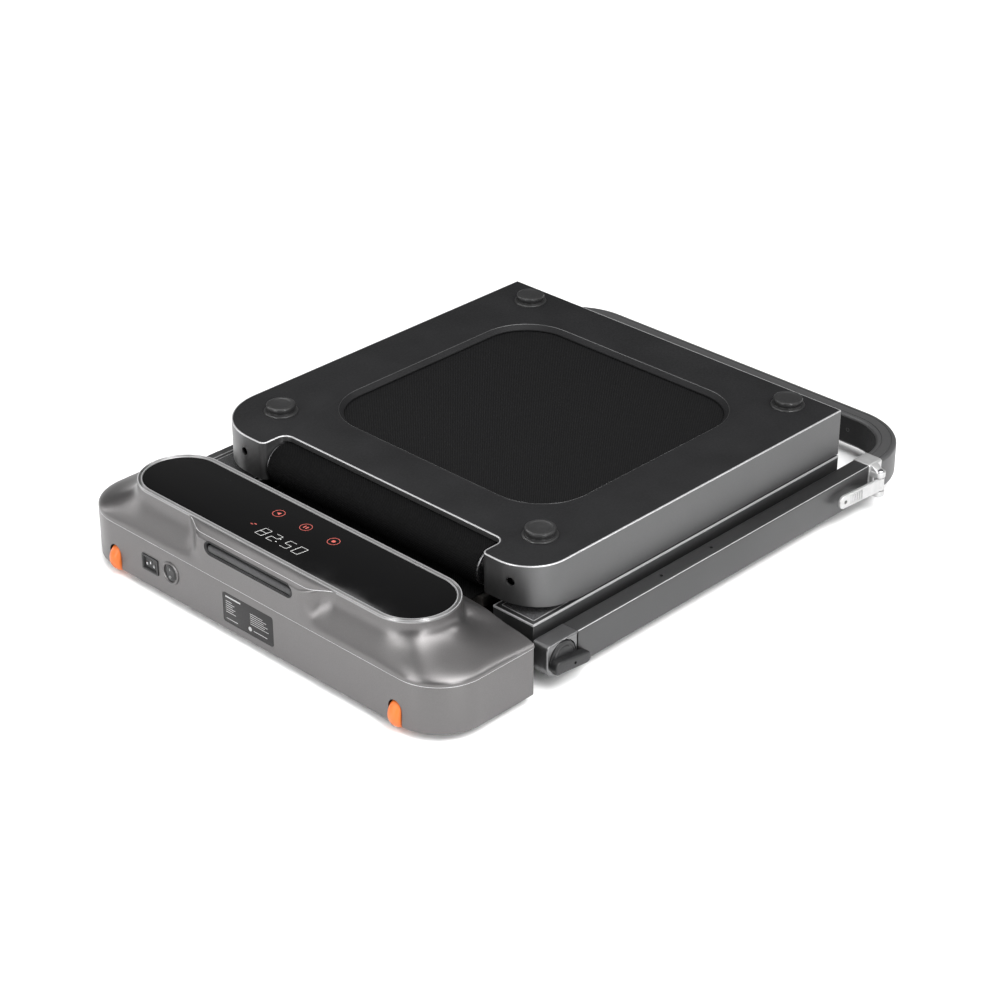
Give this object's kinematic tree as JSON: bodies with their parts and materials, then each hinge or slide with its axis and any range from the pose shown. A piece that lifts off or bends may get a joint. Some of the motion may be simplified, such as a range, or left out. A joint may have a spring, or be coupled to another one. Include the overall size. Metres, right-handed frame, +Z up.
{
  "type": "treadmill",
  "caption": "Folding walking treadmill, folded flat: motor housing with touch display, hinged deck halves with a walking belt, and a fold-down telescopic handrail.",
  "frame": {"origin": "centre of the footprint, on the floor that the machine stands on", "axes": "+X to the right seen from the motor housing's front, which faces -Y; +Y towards the fold and the folded handlebar; +Z up"},
  "size_m": [0.727, 0.987, 0.163],
  "materials": {
    "housing_grey": "satin gunmetal paint",
    "cover_grey": "satin gunmetal paint",
    "silver_trim": "brushed silver trim",
    "black_glass": "near-black gloss panel",
    "black_plastic": "fine moulded texture",
    "soft_black": "soft-touch rubber",
    "orange_wheel": "orange moulded wheel",
    "label": "printed film",
    "circuit": "green board",
    "steel": "turned steel",
    "zinc_steel": "black painted steel",
    "motor_metal": "black painted can",
    "deck_grey": "satin grey paint",
    "skirt_grey": "satin grey paint",
    "panel_black": "matte black panel",
    "board_black": "phenolic-faced board",
    "belt_black": "woven texture",
    "pad_black": "anti-slip texture",
    "foot_black": "moulded rubber",
    "upright_grey": "satin dark grey paint",
    "cast_silver": "cast and polished",
    "bow_grey": "textured dark grey"
  },
  "bodies": {
    "base": {"lower_shell": "housing_grey", "upper_cover": "cover_grey", "grip_cup": "soft_black", "display_bezel": "silver_trim", "display_glass": "black_glass", "display_board": "circuit", "power_inlet": "black_plastic", "switch_bezel": "black_plastic", "rating_label": "label", "wheel_mounts": "steel", "front_feet": "foot_black", "motor": "motor_metal", "drive_belt": "belt_black", "controller": "circuit", "front_axle": "steel", "front_axle_brackets": "zinc_steel", "front_rail_left": "deck_grey", "front_rail_right": "deck_grey", "foot_pads": "pad_black", "front_cross_members": "zinc_steel", "front_board": "board_black", "walking_belt_front": "belt_black", "front_pan": "zinc_steel", "front_guide_bar": "steel", "pivot_bolts": "steel", "front_hinge_leaves": "zinc_steel"},
    "switch": {"power_rocker": "black_plastic"},
    "wheel_left": {"transport_wheel_left": "orange_wheel"},
    "wheel_right": {"transport_wheel_right": "orange_wheel"},
    "motor_spindle": {"motor_rotor": "steel", "motor_fan": "black_plastic"},
    "front_drum": {"front_roller": "steel", "roller_pulley": "cast_silver"},
    "hinge_middle": {"hinge_pins": "steel"},
    "rear_deck": {"rear_hinge_leaves": "zinc_steel", "rear_skirt": "skirt_grey", "rear_panel": "panel_black", "window_rim": "black_plastic", "rear_rails": "deck_grey", "rear_pads": "pad_black", "rear_board": "board_black", "walking_belt_rear": "belt_black", "rear_cross_members": "zinc_steel", "rear_axle": "steel", "rear_guide_bar": "steel", "belt_adjusters": "zinc_steel", "rear_feet": "foot_black"},
    "rear_drum": {"rear_roller": "steel"},
    "handrail": {"uprights": "upright_grey", "upright_knuckles": "upright_grey", "clamp_brackets": "cast_silver", "lever_pins": "steel", "slide_bushes": "black_plastic"},
    "handlebar": {"handlebar_core": "steel", "handlebar_covers": "bow_grey", "handlebar_grip": "bow_grey"},
    "lever_right": {"clamp_lever_right": "cast_silver"},
    "lever_left": {"clamp_lever_left": "cast_silver"},
    "knob_right": {"lock_knob_right": "black_plastic"},
    "knob_left": {"lock_knob_left": "black_plastic"}
  },
  "joints": [
    {"name": "handrail_raise", "type": "hinge", "parent": "base", "child": "handrail", "pos_m": [0, -0.2675, 0.041], "axis": [1, 0, 0], "range_deg": [0, 90]},
    {"name": "handlebar_extend", "type": "slide", "parent": "handrail", "child": "handlebar", "axis": [0, 1, 0], "range_m": [0, 0.08]},
    {"name": "deck_fold", "type": "hinge", "parent": "base", "child": "hinge_middle", "pos_m": [0, 0.3345, 0.0815], "axis": [-1, 0, 0], "range_deg": [0, 130]},
    {"name": "deck_open_flat", "type": "hinge", "parent": "hinge_middle", "child": "rear_deck", "pos_m": [0, 0.3345, 0.0815], "axis": [-1, 0, 0], "range_deg": [0, 50]},
    {"name": "clamp_lever_right_swing", "type": "hinge", "parent": "handrail", "child": "lever_right", "pos_m": [0.356, 0.3695, 0.04], "axis": [0, 0, 1], "range_deg": [0, 110]},
    {"name": "clamp_lever_left_swing", "type": "hinge", "parent": "handrail", "child": "lever_left", "pos_m": [-0.356, 0.3695, 0.04], "axis": [0, 0, -1], "range_deg": [0, 110]},
    {"name": "lock_knob_right_turn", "type": "hinge", "parent": "base", "child": "knob_right", "pos_m": [0.346, -0.2675, 0.041], "axis": [1, 0, 0], "range_deg": [0, 90]},
    {"name": "lock_knob_left_turn", "type": "hinge", "parent": "base", "child": "knob_left", "pos_m": [-0.346, -0.2675, 0.041], "axis": [1, 0, 0], "range_deg": [0, 90]},
    {"name": "power_switch_rock", "type": "hinge", "parent": "base", "child": "switch", "pos_m": [-0.153, -0.482, 0.05], "axis": [1, 0, 0], "range_deg": [0, 10]},
    {"name": "transport_wheel_left_spin", "type": "hinge", "parent": "base", "child": "wheel_left", "pos_m": [-0.2685, -0.4725, 0.025], "axis": [1, 0, 0], "continuous": true},
    {"name": "transport_wheel_right_spin", "type": "hinge", "parent": "base", "child": "wheel_right", "pos_m": [0.2685, -0.4725, 0.025], "axis": [1, 0, 0], "continuous": true},
    {"name": "front_roller_spin", "type": "hinge", "parent": "base", "child": "front_drum", "pos_m": [0.011, -0.3115, 0.0505], "axis": [1, 0, 0], "continuous": true},
    {"name": "motor_spin", "type": "hinge", "parent": "base", "child": "motor_spindle", "pos_m": [-0.13, -0.4055, 0.056], "axis": [1, 0, 0], "continuous": true},
    {"name": "rear_roller_spin", "type": "hinge", "parent": "rear_deck", "child": "rear_drum", "pos_m": [0.011, -0.2555, 0.1125], "axis": [1, 0, 0], "continuous": true}
  ],
  "couplings": [
    {"joint": "deck_open_flat", "follows": "handrail_raise", "ratio": 0.55555},
    {"joint": "motor_spin", "follows": "front_roller_spin", "ratio": 2.75},
    {"joint": "rear_roller_spin", "follows": "front_roller_spin", "ratio": 1}
  ]
}
